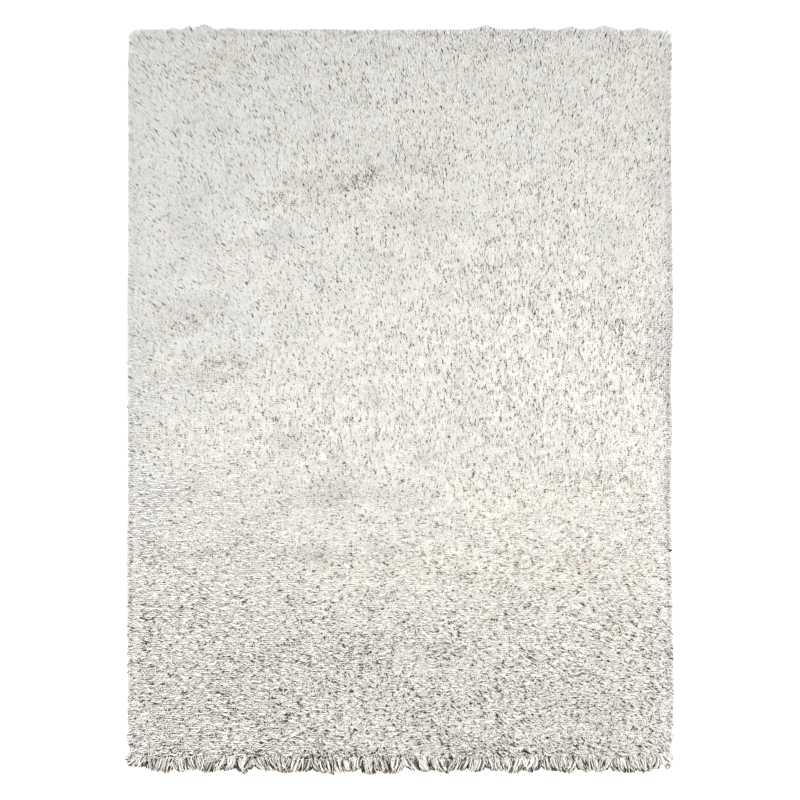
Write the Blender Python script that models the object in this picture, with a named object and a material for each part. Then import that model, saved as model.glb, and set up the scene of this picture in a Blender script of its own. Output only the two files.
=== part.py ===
"""A thick wool shag rug lying flat on the floor, 1.7 m wide and 2.3 m long.

The rug is one piece: a lumpy slab of knotted pile, with the outermost tufts as locks that stand
out round its rim. They are longest along the front edge, where they fall over onto the floor.
Metres, +Z up, the front edge at -Y, the origin under the middle of the rug on the floor.
"""

import math
import random
from collections import namedtuple

import bmesh
import bpy
from mathutils import Vector, noise

# The slab, without its rim locks.
SLAB_WIDTH = 1.646
SLAB_LENGTH = 2.234
PILE_HEIGHT = 0.039
FRONT_CORNER_RADIUS = 0.045
BACK_CORNER_RADIUS = 0.022
FOOT_INSET = 0.007  # how far the underside stops short of the widest line

# Pile lumps: tufts felt together in drifts that run across the rug, along its rows of knots.
LUMP_ACROSS = 0.145
LUMP_ALONG = 0.088
LUMP_HEIGHT = 0.0130
SWELL_SIZE = 0.62
SWELL_HEIGHT = 0.0040

# Grid lines of the slab's top, and its rounded edge: inset from the rim, share of the pile height.
LINES_ACROSS = 28
LINES_ALONG = 38
EDGE_RINGS = ((0.000, 0.36), (0.013, 0.90))

# How far each edge waves out from its straight line.
Wave = namedtuple("Wave", "along out")
LEFT_WAVE = (
    Wave(-1.16, 0.000), Wave(-1.04, -0.004), Wave(-0.62, -0.004), Wave(-0.44, -0.007),
    Wave(-0.28, 0.003), Wave(0.06, 0.006), Wave(0.28, 0.005), Wave(0.53, -0.001),
    Wave(1.16, -0.001),
)  # fmt: skip
RIGHT_WAVE = (
    Wave(-1.16, 0.004), Wave(-0.90, 0.010), Wave(-0.62, 0.004), Wave(-0.31, 0.000),
    Wave(-0.06, -0.005), Wave(0.03, 0.001), Wave(0.25, -0.008), Wave(0.56, -0.005),
    Wave(0.84, 0.000), Wave(1.16, 0.004),
)  # fmt: skip
FRONT_WAVE = (
    Wave(-0.85, -0.002), Wave(-0.40, 0.001), Wave(-0.20, 0.006), Wave(-0.08, 0.007),
    Wave(0.06, -0.001), Wave(0.20, -0.003), Wave(0.36, 0.000), Wave(0.85, -0.002),
)  # fmt: skip
BACK_WAVE = (
    Wave(-0.85, -0.003), Wave(-0.70, -0.002), Wave(-0.60, 0.004), Wave(-0.47, -0.005),
    Wave(-0.38, 0.001), Wave(-0.27, -0.004), Wave(-0.05, 0.002), Wave(0.15, 0.002),
    Wave(0.27, 0.005), Wave(0.45, 0.003), Wave(0.57, -0.003), Wave(0.65, 0.005),
    Wave(0.72, -0.003), Wave(0.85, -0.003),
)  # fmt: skip

# Rim locks: the way out from their edge, the distance from one to the next, how far they reach,
# the height of their roots and the radius of their three-sided section.
RimRow = namedtuple("RimRow", "way_out pitch reach root_height section")
FRONT_ROW = RimRow((0, -1, 0), 0.0172, 0.040, 0.0290, 0.0066)
RIGHT_ROW = RimRow((1, 0, 0), 0.0440, 0.016, 0.0210, 0.0180)
BACK_ROW = RimRow((0, 1, 0), 0.0300, 0.018, 0.0235, 0.0122)
LEFT_ROW = RimRow((-1, 0, 0), 0.0430, 0.018, 0.0210, 0.0175)

# A lock's path from its root: share of its reach, of its root's height and of its section.
Step = namedtuple("Step", "reach height section")
LONG_PATH = (Step(0.34, 0.93, 1.00), Step(0.70, 0.52, 0.80), Step(1.00, 0.12, 0.42))
SHORT_PATH = (Step(1.00, 0.24, 0.52),)
LONG_REACH = 0.030  # a reach from here on takes the long path
# The buried end is lower and thinner, so that it stays under the slab's top.
BURIED_DEPTH = 0.016
BURIED_HEIGHT = 0.72
BURIED_SECTION = 0.75
LOCK_FLATNESS = 0.85
LOCK_CLEARANCE = 0.0005  # under a tip that lies on the floor
REACH_SPREAD = 0.22
YAW = math.radians(18)
YAW_DRIFT = 0.21  # how long a drift of locks leans one way

# Tufts of the back edge that stand out past their neighbours, or short of them.
Tuft = namedtuple("Tuft", "x extra")
BACK_TUFTS = (
    Tuft(-0.711, -0.004), Tuft(-0.655, 0.010), Tuft(-0.600, 0.013), Tuft(0.265, 0.012),
    Tuft(0.630, 0.013), Tuft(0.765, 0.008),
)  # fmt: skip
TUFT_HALF_WIDTH = 0.014

PILE_COLOUR = (0.76, 0.73, 0.68, 1.0)
PILE_ROUGHNESS = 0.95
SEED = 11


def clear_scene():
    for obj in list(bpy.data.objects):
        bpy.data.objects.remove(obj)


def read_wave(wave, along):
    """The wave's distance at a place on the edge, eased from one row of its table to the next."""
    for low, high in zip(wave, wave[1:]):
        if along <= high.along:
            t = max(0.0, (along - low.along) / (high.along - low.along))
            return low.out + (high.out - low.out) * t * t * (3 - 2 * t)
    return wave[-1].out


def corner_radius(y):
    return BACK_CORNER_RADIUS if y > 0 else FRONT_CORNER_RADIUS


def rounded_corner(x, y):
    """Moves a point of a square corner onto the rounded one, square ring to round ring."""
    start_x = SLAB_WIDTH / 2 - corner_radius(y)
    start_y = SLAB_LENGTH / 2 - corner_radius(y)
    over_x = abs(x) - start_x
    over_y = abs(y) - start_y
    if over_x <= 0 or over_y <= 0:
        return x, y
    shrink = max(over_x, over_y) / math.hypot(over_x, over_y)
    return (
        math.copysign(start_x + over_x * shrink, x),
        math.copysign(start_y + over_y * shrink, y),
    )


def waved(x, y):
    """Shares each edge's wave out over the rug, full at the edge and none at the middle."""
    side = RIGHT_WAVE if x > 0 else LEFT_WAVE
    end = BACK_WAVE if y > 0 else FRONT_WAVE
    out_x = read_wave(side, y) * (2 * abs(x) / SLAB_WIDTH) ** 3
    out_y = read_wave(end, x) * (2 * abs(y) / SLAB_LENGTH) ** 3
    return x + math.copysign(out_x, x), y + math.copysign(out_y, y)


def grid_line(index, last, half):
    """(place, share of the pile height) of one line of the slab's grid, finer at both edges."""
    from_edge = min(index, last - index)
    sign = -1 if index < last / 2 else 1
    if from_edge < len(EDGE_RINGS):
        inset, share = EDGE_RINGS[from_edge]
        return sign * (half - inset), share
    rings = len(EDGE_RINGS) - 1
    inner = half - EDGE_RINGS[-1][0]
    return inner * (2 * (index - rings) / (last - 2 * rings) - 1), 1.0


def pile_top(x, y, share):
    """Height of the pile at a place, with its long swells and its drifts of lumps."""
    drift = noise.noise(Vector((x / LUMP_ACROSS, y / LUMP_ALONG, 0.0)))
    swell = noise.noise(Vector((x / SWELL_SIZE, y / SWELL_SIZE, 4.7)))
    return share * (PILE_HEIGHT + LUMP_HEIGHT * drift + SWELL_HEIGHT * swell)


def make_slab():
    bpy.ops.mesh.primitive_grid_add(
        x_subdivisions=LINES_ACROSS, y_subdivisions=LINES_ALONG, size=2
    )
    slab = bpy.context.object
    mesh = bmesh.new()
    mesh.from_mesh(slab.data)
    for vertex in mesh.verts:
        column = round((vertex.co.x + 1) / 2 * LINES_ACROSS)
        row = round((vertex.co.y + 1) / 2 * LINES_ALONG)
        x, share_x = grid_line(column, LINES_ACROSS, SLAB_WIDTH / 2)
        y, share_y = grid_line(row, LINES_ALONG, SLAB_LENGTH / 2)
        x, y = waved(*rounded_corner(x, y))
        vertex.co = (x, y, pile_top(x, y, min(share_x, share_y)))
    rim = [edge for edge in mesh.edges if edge.is_boundary]
    made = bmesh.ops.extrude_edge_only(mesh, edges=rim)["geom"]
    for vertex in (item for item in made if isinstance(item, bmesh.types.BMVert)):
        vertex.co.x *= 1 - 2 * FOOT_INSET / SLAB_WIDTH
        vertex.co.y *= 1 - 2 * FOOT_INSET / SLAB_LENGTH
        vertex.co.z = 0.0
    bmesh.ops.contextual_create(mesh, geom=[edge for edge in mesh.edges if edge.is_boundary])
    bmesh.ops.triangulate(mesh, faces=mesh.faces)
    bmesh.ops.recalc_face_normals(mesh, faces=mesh.faces)
    mesh.to_mesh(slab.data)
    mesh.free()
    return slab


def rim_places(row):
    """Yields (point on the rim, way out from it) for each lock of a row."""
    out = Vector(row.way_out)
    way = Vector((-out.y, out.x, 0.0))
    half_out, half_way = SLAB_LENGTH / 2, SLAB_WIDTH / 2
    if out.x:
        half_out, half_way = half_way, half_out
    radii = [corner_radius((out + way * 2 * sign).y) for sign in (-1, 1)]
    spans = [half_way - radius + radius * math.pi / 4 for radius in radii]
    count = round(sum(spans) / row.pitch)
    for index in range(count):
        along = (index + 0.5) / count * sum(spans) - spans[0]
        radius = radii[along > 0]
        straight = half_way - radius
        corner = math.copysign(max(0.0, abs(along) - straight) / radius, along)
        normal = out * math.cos(corner) + way * math.sin(corner)
        place = max(-straight, min(straight, along))
        yield out * (half_out - radius) + way * place + normal * radius, normal


def lock_reach(row, x, chance):
    reach = row.reach * (1 + REACH_SPREAD * chance.uniform(-1, 1))
    if row is BACK_ROW:
        reach += sum(tuft.extra for tuft in BACK_TUFTS if abs(x - tuft.x) < TUFT_HALF_WIDTH)
    return reach


def lock_points(row, point, normal, chance):
    """[(centre, share of the lock's section)] from the root inside the slab to the tip."""
    reach = lock_reach(row, point.x, chance)
    lean = 2 * noise.noise(point / YAW_DRIFT)
    yaw = YAW * max(-1.0, min(1.0, lean))
    side = Vector((-normal.y, normal.x, 0.0))
    heading = normal * math.cos(yaw) + side * math.sin(yaw)
    root = Vector((*waved(point.x, point.y), row.root_height))
    buried = root - normal * BURIED_DEPTH
    buried.z = row.root_height * BURIED_HEIGHT
    points = [(buried, BURIED_SECTION), (root, 1.0)]
    for step in LONG_PATH if row.reach >= LONG_REACH else SHORT_PATH:
        centre = root + heading * reach * step.reach
        lowest = LOCK_CLEARANCE + row.section * LOCK_FLATNESS * step.section / 2
        centre.z = max(lowest, row.root_height * step.height)
        points.append((centre, step.section))
    return points


def lock_profile():
    """A lock's three-sided section, with its flat side down."""
    data = bpy.data.curves.new("lock_profile", "CURVE")
    spline = data.splines.new("POLY")
    spline.points.add(2)
    for corner, point in enumerate(spline.points):
        turn = math.radians(90 + 120 * corner)
        point.co = (math.cos(turn), LOCK_FLATNESS * math.sin(turn), 0.0, 1.0)
    spline.use_cyclic_u = True
    profile = bpy.data.objects.new("lock_profile", data)
    bpy.context.collection.objects.link(profile)
    return profile


def make_locks():
    """All the rim locks as one curve, a spline for each, and then as one mesh."""
    chance = random.Random(SEED)
    profile = lock_profile()
    data = bpy.data.curves.new("rim_locks", "CURVE")
    data.dimensions = "3D"
    data.twist_mode = "Z_UP"
    data.bevel_mode = "OBJECT"
    data.bevel_object = profile
    data.use_fill_caps = True
    for row in (FRONT_ROW, RIGHT_ROW, BACK_ROW, LEFT_ROW):
        for point, normal in rim_places(row):
            path = lock_points(row, point, normal, chance)
            spline = data.splines.new("POLY")
            spline.points.add(len(path) - 1)
            for target, (centre, share) in zip(spline.points, path):
                target.co = (*centre, 1.0)
                target.radius = row.section * share
    curve = bpy.data.objects.new("rim_locks_curve", data)
    bpy.context.collection.objects.link(curve)
    bpy.context.view_layer.update()
    graph = bpy.context.evaluated_depsgraph_get()
    mesh = bpy.data.meshes.new_from_object(curve.evaluated_get(graph))
    locks = bpy.data.objects.new("rim_locks", mesh)
    locks.matrix_world = curve.matrix_world
    bpy.data.objects.remove(curve)
    bpy.data.objects.remove(profile)
    weld_caps(locks)
    return locks


def weld_caps(obj):
    mesh = bmesh.new()
    mesh.from_mesh(obj.data)
    bmesh.ops.remove_doubles(mesh, verts=mesh.verts, dist=1e-6)
    bmesh.ops.triangulate(mesh, faces=mesh.faces)
    bmesh.ops.recalc_face_normals(mesh, faces=mesh.faces)
    mesh.to_mesh(obj.data)
    mesh.free()


def collection_named(name):
    found = bpy.data.collections.new(name)
    bpy.context.scene.collection.children.link(found)
    return found


def move_to(obj, collection):
    for holder in list(obj.users_collection):
        holder.objects.unlink(obj)
    collection.objects.link(obj)


def join_locks(slab, locks):
    union = slab.modifiers.new("rim locks", "BOOLEAN")
    union.operation = "UNION"
    union.solver = "EXACT"
    union.object = locks
    locks.hide_render = True
    locks.display_type = "WIRE"


def centre_over_origin(*objects):
    """Moves the objects alike, so that the first one's box is centred over the origin."""
    bpy.context.view_layer.update()
    rug = objects[0].evaluated_get(bpy.context.evaluated_depsgraph_get())
    corners = [rug.matrix_world @ Vector(corner) for corner in rug.bound_box]
    for axis in (0, 1):
        places = [corner[axis] for corner in corners]
        for obj in objects:
            obj.location[axis] -= (min(places) + max(places)) / 2


def pile_material():
    material = bpy.data.materials.new("wool_pile")
    material.use_nodes = True
    shader = material.node_tree.nodes["Principled BSDF"]
    shader.inputs["Base Color"].default_value = PILE_COLOUR
    shader.inputs["Roughness"].default_value = PILE_ROUGHNESS
    shader.inputs["Metallic"].default_value = 0.0
    material.diffuse_color = PILE_COLOUR
    return material


def main():
    clear_scene()
    rug = make_slab()
    rug.name = "shag_rug"
    rug.data.materials.append(pile_material())
    locks = make_locks()
    move_to(rug, collection_named("Shag rug"))
    move_to(locks, collection_named("Cutters"))
    join_locks(rug, locks)
    centre_over_origin(rug, locks)


main()
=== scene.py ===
# %% [markdown]
# # A shag rug
# A shag rug is a ground cloth with long wool strands knotted into it, row by row. Seen from above
# only the ends of the strands show, tens of thousands of them, so the look of the rug is the look
# of its strands: how thick they are, which way they lean and how deep one sees between them. The
# imported model gives a slab of the right size. This script dresses it with the real pile: a ground
# cloth, and then the strands, made once and copied into rows.

# %% Load the imported model
import math
from collections import namedtuple

import bpy
import numpy as np
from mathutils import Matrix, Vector, noise
from mathutils.bvhtree import BVHTree


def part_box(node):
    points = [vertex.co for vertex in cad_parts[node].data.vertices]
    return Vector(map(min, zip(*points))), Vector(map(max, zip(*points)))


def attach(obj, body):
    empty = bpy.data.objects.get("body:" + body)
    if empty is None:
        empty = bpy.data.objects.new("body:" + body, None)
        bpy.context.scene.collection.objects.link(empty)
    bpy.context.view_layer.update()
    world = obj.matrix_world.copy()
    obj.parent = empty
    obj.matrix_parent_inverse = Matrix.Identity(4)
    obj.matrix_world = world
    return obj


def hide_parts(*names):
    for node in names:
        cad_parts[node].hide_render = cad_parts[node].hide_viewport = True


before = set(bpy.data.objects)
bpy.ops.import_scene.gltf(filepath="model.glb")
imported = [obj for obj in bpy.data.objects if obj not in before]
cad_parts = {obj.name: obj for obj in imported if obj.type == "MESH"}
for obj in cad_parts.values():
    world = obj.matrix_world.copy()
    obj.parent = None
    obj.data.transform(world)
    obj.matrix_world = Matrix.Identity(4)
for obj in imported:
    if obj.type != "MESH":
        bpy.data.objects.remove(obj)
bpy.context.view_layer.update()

NODE = "shag_rug"
LOW, HIGH = (Vector(corner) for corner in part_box(NODE))
print("rug", [round(side, 3) for side in HIGH - LOW])

# %% [markdown]
# ## Camera
# The rug is seen from straight above. A camera three metres up has the mild perspective that lets
# one look at the pile from the front near the back edge, and along its strands near the front one.

# %% Camera
FRAME_PIXELS = 800
RUG_PIXELS = 547  # the width of the rug in the frame
EYE_HEIGHT = 3.0
SENSOR = 36.0


def add_object(name, data):
    obj = bpy.data.objects.new(name, data)
    bpy.context.scene.collection.objects.link(obj)
    return obj


def add_camera():
    frame_width = (HIGH.x - LOW.x) * FRAME_PIXELS / RUG_PIXELS
    data = bpy.data.cameras.new("camera")
    data.sensor_width = SENSOR
    data.lens = SENSOR * EYE_HEIGHT / frame_width
    camera = add_object("camera", data)
    camera.location = (0, 0, EYE_HEIGHT)
    bpy.context.scene.camera = camera
    print("lens", round(data.lens, 1), "mm")


add_camera()

# %% [markdown]
# ## Light
# The light is soft and comes from everywhere, with a large lamp high up at the front. Between the
# strands it fades quickly, and that is what draws them.

# %% Light
SKY_STRENGTH = 0.95
LAMP_PLACE = (0.4, -0.8, 3.5)
LAMP_SIZE, LAMP_POWER = 3.6, 174


def add_light():
    world = bpy.data.worlds.new("studio")
    world.use_nodes = True
    sky = world.node_tree.nodes["Background"].inputs
    sky["Color"].default_value = (1, 1, 1, 1)
    sky["Strength"].default_value = SKY_STRENGTH
    bpy.context.scene.world = world
    data = bpy.data.lights.new("lamp", "AREA")
    data.size, data.energy = LAMP_SIZE, LAMP_POWER
    lamp = add_object("lamp", data)
    lamp.location = LAMP_PLACE
    lamp.rotation_euler = (-Vector(LAMP_PLACE)).to_track_quat("-Z", "Y").to_euler()
    bpy.context.scene.view_settings.view_transform = "Standard"
    print("lamp", LAMP_SIZE, "m wide,", LAMP_POWER, "W")


add_light()

# %% [markdown]
# ## Shader maths
# A material is a network of nodes, and a long formula is hard to read as one. This small class
# wraps a socket, so that a sum written in Python adds its Math nodes by itself. All nodes come from
# its one method `add`, which takes the node's type, its settings and its inputs.

# %% A socket that can be added, multiplied and so on


class Sock:
    """A socket in a material, or with no socket the start of a new expression."""

    def __init__(self, tree, socket=None):
        self.tree = tree
        self.socket = socket

    def add(self, kind, settings=None, inputs=None, output=0):
        node = self.tree.nodes.new("ShaderNode" + kind)
        for name, value in (settings or {}).items():
            if name == "stops":
                self._set_stops(node.color_ramp, value)
            else:
                setattr(node, name, value)
        for name, value in (inputs or {}).items():
            if isinstance(value, Sock):
                self.tree.links.new(value.socket, node.inputs[name])
            else:
                node.inputs[name].default_value = value
        return Sock(self.tree, node.outputs[output])

    @staticmethod
    def _set_stops(ramp, stops):
        while len(ramp.elements) < len(stops):
            ramp.elements.new(1.0)
        for element, (place, colour) in zip(ramp.elements, stops):
            element.position = place
            element.color = (*colour, 1.0)

    def math(self, operation, *values):
        """A Math node on the values, or on this socket alone."""
        return self.add("Math", {"operation": operation}, dict(enumerate(values or (self,))))

    def __add__(self, other):
        return self.math("ADD", self, other)

    def __mul__(self, other):
        return self.math("MULTIPLY", self, other)

    def __sub__(self, other):
        return self.math("SUBTRACT", self, other)

    def __rsub__(self, other):
        return self.math("SUBTRACT", other, self)

    def __truediv__(self, other):
        return self.math("DIVIDE", self, other)

    def between(self, low, high):
        """0 below low, 1 above high, and a smooth rise from one to the other."""
        settings = {"interpolation_type": "SMOOTHSTEP"}
        return self.add("MapRange", settings, {"Value": self, "From Min": low, "From Max": high})

    def split(self):
        parts = self.add("SeparateXYZ", inputs={"Vector": self}).socket.node
        return [Sock(self.tree, part) for part in parts.outputs]

    def mixed(self, a, b):
        """The colour a where this is 0, and b where it is 1."""
        settings = {"data_type": "RGBA"}
        inputs = {0: self, 6: a, 7: b}
        return self.add("Mix", settings, inputs, output=2)

    def into(self, node, name):
        self.tree.links.new(self.socket, node.inputs[name])

    def raise_surface(self, shader, strength, distance):
        inputs = {"Strength": strength, "Distance": distance, "Height": self}
        self.add("Bump", inputs=inputs).into(shader, "Normal")


def new_material(name, **values):
    """(material, its shader, the start of an expression), with the shader's fixed values set."""
    material = bpy.data.materials.new(name)
    material.use_nodes = True
    shader = material.node_tree.nodes["Principled BSDF"]
    for key, value in values.items():
        shader.inputs[key.replace("_", " ")].default_value = value
    return material, shader, Sock(material.node_tree)


# %% [markdown]
# ## Floor
# A plain white board, large enough for every view. It isn't part of the rug.

# %% Floor
FLOOR_SIZE = 14.0
FLOOR_TOP = -0.0005  # just below the rug
FLOOR_COLOUR = (0.92, 0.92, 0.92, 1)


def add_floor():
    material, _, _ = new_material("floor", Base_Color=FLOOR_COLOUR, Roughness=0.9)
    bpy.ops.mesh.primitive_plane_add(size=FLOOR_SIZE, location=(0, 0, FLOOR_TOP))
    floor = bpy.context.object
    floor.name = "floor"
    bpy.ops.object.transform_apply()
    floor.data.materials.append(material)
    print("floor", FLOOR_SIZE, "m")


add_floor()

# %% [markdown]
# ## The outline of the rug
# The pile is knotted into a cloth with the rug's own, slightly wavy outline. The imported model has
# that outline on its flat underside, so it is read there: a copy of the model is merged, and every
# face but the underside is deleted. What is left is one flat face, the start of the ground cloth.

# %% Cut the underside out of a copy of the model
FLOOR_TOUCH = 0.0004  # faces lower than this belong to the underside


def deselect_all():
    bpy.ops.object.select_all(action="DESELECT")


def edit(obj):
    """Edit mode with every face selected."""
    deselect_all()
    bpy.context.view_layer.objects.active = obj
    obj.select_set(True)
    bpy.ops.object.mode_set(mode="EDIT")
    bpy.ops.mesh.select_mode(type="FACE")
    bpy.ops.mesh.select_all(action="SELECT")


def finish_edit():
    """Turns every face outwards and leaves edit mode."""
    bpy.ops.mesh.select_all(action="SELECT")
    bpy.ops.mesh.normals_make_consistent(inside=False)
    bpy.ops.object.mode_set(mode="OBJECT")


def select_faces(obj, wanted):
    """Selects the faces whose height is wanted, and nothing else."""
    bpy.ops.mesh.select_all(action="DESELECT")
    bpy.ops.object.mode_set(mode="OBJECT")
    for face in obj.data.polygons:
        face.select = wanted(face.center.z)
    bpy.ops.object.mode_set(mode="EDIT")


def make_underside():
    source = bpy.data.objects[NODE]
    cloth = add_object("ground_cloth", source.data.copy())
    cloth.data.materials.clear()
    edit(cloth)
    bpy.ops.mesh.remove_doubles(threshold=1e-5)
    select_faces(cloth, lambda height: height > FLOOR_TOUCH)
    bpy.ops.mesh.delete(type="FACE")
    bpy.ops.mesh.select_all(action="SELECT")
    bpy.ops.mesh.dissolve_limited(angle_limit=math.radians(1))
    bpy.ops.mesh.select_all(action="DESELECT")
    bpy.ops.object.mode_set(mode="OBJECT")
    print("underside", len(cloth.data.polygons), "face,", len(cloth.data.edges), "edges")
    return cloth


cloth = make_underside()

# %% [markdown]
# ## Distance from the rim
# The pile reaches out over the rim, so each strand has to know how far inside the outline it
# stands, and which way is out. Both come from the nearest point of the outline's edges. A count of
# the edges that a ray crosses says whether a point is inside at all.

# %% Measure points against the outline


def plan_of(mesh):
    return np.array([vertex.co[:2] for vertex in mesh.vertices])


def outline_edges(mesh):
    points = plan_of(mesh)
    ends = np.array([edge.vertices[:] for edge in mesh.edges])
    return points[ends[:, 0]], points[ends[:, 1]]


def measure_rim(points):
    """(distance inside the outline, way out) of each point; the distance is negative outside."""
    nearest = np.full(len(points), np.inf)
    way = np.zeros_like(points)
    crossings = np.zeros(len(points), int)
    for a, b in zip(RIM_START, RIM_END):
        along = b - a
        share = np.clip((points - a) @ along / (along @ along), 0, 1)
        offset = a + share[:, None] * along - points
        distance = np.linalg.norm(offset, axis=1)
        closer = distance < nearest
        nearest[closer] = distance[closer]
        way[closer] = offset[closer]
        spans = (a[1] > points[:, 1]) != (b[1] > points[:, 1])
        with np.errstate(divide="ignore", invalid="ignore"):
            meets = a[0] + (points[:, 1] - a[1]) / along[1] * along[0]
        crossings += spans & (points[:, 0] < meets)
    inside = crossings % 2 == 1
    way /= np.maximum(nearest, 1e-9)[:, None]
    way[~inside] *= -1
    return np.where(inside, nearest, -nearest), way


RIM_START, RIM_END = outline_edges(cloth.data)
print("outline", len(RIM_START), "edges")

# %% [markdown]
# ## Ground cloth
# The cloth that holds the knots is a plain weave of strong beige yarn, two millimetres thick. It
# is hardly seen, only as something warm at the bottom of the deepest gaps, and on the underside
# when the rug is lifted. The flat face is extruded to its thickness, and the weave is a pattern.

# %% Ground cloth
CLOTH_BOTTOM = 0.0003
CLOTH_THICKNESS = 0.0020
PILE_FOOT = CLOTH_BOTTOM + CLOTH_THICKNESS - 0.0004  # the pile goes a little into the cloth
WEAVE_PITCH = 0.0045
WEAVE_BUMP = (0.6, 0.001)  # strength, height
WARP_COLOUR = (0.50, 0.43, 0.33, 1)
WEFT_COLOUR = (0.62, 0.55, 0.44, 1)


def cloth_material():
    material, shader, start = new_material("ground_cloth_yarn", Roughness=0.95)
    place = start.add("TexCoord", output=3)
    x, y, _ = place.split()
    turn = 2 * math.pi / WEAVE_PITCH
    warp = (x * turn).math("SINE")
    weft = (y * turn).math("SINE")
    over = (warp * weft).between(-0.4, 0.4)
    over.mixed(WARP_COLOUR, WEFT_COLOUR).into(shader, "Base Color")
    height = warp.math("ABSOLUTE") * over + weft.math("ABSOLUTE") * (1 - over)
    height.raise_surface(shader, *WEAVE_BUMP)
    return material


def finish_cloth(cloth):
    edit(cloth)
    bpy.ops.transform.translate(value=(0, 0, CLOTH_BOTTOM))
    bpy.ops.mesh.extrude_region_move(TRANSFORM_OT_translate={"value": (0, 0, CLOTH_THICKNESS)})
    finish_edit()
    cloth.data.materials.append(cloth_material())
    print("ground cloth", np.round([plan_of(cloth.data).min(0), plan_of(cloth.data).max(0)], 4))


finish_cloth(cloth)

# %% [markdown]
# ## Partings
# In a few places the pile has been parted, and one sees deeper into it. Each parting is a row of
# this table. Near its line the ground of the pile lies lower and is painted darker as painted
# shade, the strands fall away to both sides, and the wool is more beige. Smooth noise breaks the
# line up into patches. Every use of the noise has its own layer, and its seed is fixed, because
# without one it would follow the clock.

# %% Partings
PARTINGS = (  # x, y, half length, half width, strength
    (-0.131, 0.693, 0.120, 0.050, 1.0),
    (0.037, 0.733, 0.090, 0.030, 0.7),
    (-0.356, 0.630, 0.100, 0.036, 0.7),
    (-0.655, 0.256, 0.120, 0.045, 0.7),
    (-0.560, 0.120, 0.120, 0.045, 0.8),
    (-0.562, 1.023, 0.080, 0.045, 0.6),
    (0.218, 0.406, 0.110, 0.034, 0.5),
    (0.692, 0.237, 0.110, 0.034, 0.7),
    (0.599, -0.250, 0.120, 0.034, 0.5),
    (-0.608, -0.468, 0.110, 0.034, 0.6),
    (-0.156, -0.796, 0.140, 0.040, 0.7),
    (0.094, -0.780, 0.110, 0.034, 0.6),
)
PARTING_PATCH = 0.045  # size of its patches across the rug
PARTING_FLAT = 0.6  # their size along the rug, as a share of that
PARTING_LAYER = 41.0
PARTING_MIX = (0.55, 1.6)  # mean strength of the patches, their contrast
PARTING_MOST = 1.3
PARTING_DEPTH = 0.008
NOISE_SEED = 3

noise.seed_set(NOISE_SEED)


def noise_field(points, across, along, layer):
    """Two smooth random numbers for each point, both about -1 to 1."""
    place = ((x / across, y / along, layer) for x, y in points)
    return np.array([noise.noise_vector(Vector(at))[:2] for at in place])


def partings(points):
    """(how strong the nearest parting is at each point, and its pull along the rug)."""
    strength, pull = np.zeros(len(points)), np.zeros(len(points))
    for x, y, half_length, half_width, strong in PARTINGS:
        across = (points[:, 0] - x) / half_length
        along = (points[:, 1] - y) / half_width
        near = strong * np.exp(-(across**2) - along**2)
        strength = np.maximum(strength, near)
        pull += 2 * along * near
    patch_length = PARTING_PATCH * PARTING_FLAT
    patches = noise_field(points, PARTING_PATCH, patch_length, PARTING_LAYER)[:, 0]
    mean, contrast = PARTING_MIX
    patches = np.clip(mean + contrast * patches, 0, PARTING_MOST)
    return strength * patches, pull * patches


print(len(PARTINGS), "partings")

# %% [markdown]
# ## How far the pile reaches
# The strands stand on the cloth, but their ends reach out over its edge on all sides, furthest at
# the front. On the back edge a few tufts have been pulled out further than the rest: those are the
# hills in its outline.

# %% Reach of the pile over the outline
SIDE_REACH = 0.0230
BACK_REACH = 0.0262
FRONT_REACH = 0.018  # of the felted ground
PILE_FRONT = 0.034  # of the pile, which leaves room for the fringe
FRONT_STEPS = (0.016, 0.010)  # width and depth of the steps in the pile's front
FRONT_LAYER = 31.0
FRONT_CORNERS, BACK_CORNERS = 0.028, 0.008  # extra reach there
BACK_TUFTS = (  # x, half width, extra reach
    (-0.702, 0.010, 0.006),
    (-0.652, 0.011, 0.014),
    (-0.605, 0.022, 0.015),
    (-0.530, 0.016, 0.006),
    (0.265, 0.024, 0.011),
    (0.415, 0.015, 0.006),
    (0.524, 0.018, 0.010),
    (0.633, 0.028, 0.013),
    (0.743, 0.015, 0.007),
)


def corner_reach(way):
    """The pile's corners are less round than the cloth's."""
    extra = np.where(way[:, 1] < 0, FRONT_CORNERS, BACK_CORNERS)
    return extra * (2 * way[:, 0] * way[:, 1]) ** 2


def rim_reach(points, way, front=FRONT_REACH):
    at_back, at_front = np.clip(way[:, 1], 0, 1) ** 2, np.clip(-way[:, 1], 0, 1) ** 2
    reach = SIDE_REACH + (BACK_REACH - SIDE_REACH) * at_back
    width, depth = FRONT_STEPS
    front = front + depth * noise_field(points * (1, 0), width, 1.0, FRONT_LAYER)[:, 0]
    reach += (front - SIDE_REACH) * at_front + corner_reach(way)
    for x, half_width, extra in BACK_TUFTS:
        reach += at_back * extra * np.exp(-(((points[:, 0] - x) / half_width) ** 2))
    return reach


print(len(BACK_TUFTS), "tufts on the back edge")

# %% [markdown]
# ## The lumps of the pile
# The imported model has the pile's lumps in its top. A ray sent straight down on it finds its height
# anywhere.

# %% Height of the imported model
MODEL = bpy.data.objects[NODE].data
MODEL_TREE = BVHTree.FromPolygons(
    [vertex.co for vertex in MODEL.vertices], [face.vertices for face in MODEL.polygons]
)


def model_top(points):
    """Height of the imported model's top over each point of the plan, 0 beside the rug."""
    hits = (MODEL_TREE.ray_cast(Vector((x, y, 1)), Vector((0, 0, -1)))[0] for x, y in points)
    return np.array([hit.z if hit else 0.0 for hit in hits])


print("middle", round(float(model_top([(0, 0)])[0]), 4), "m high")
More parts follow.
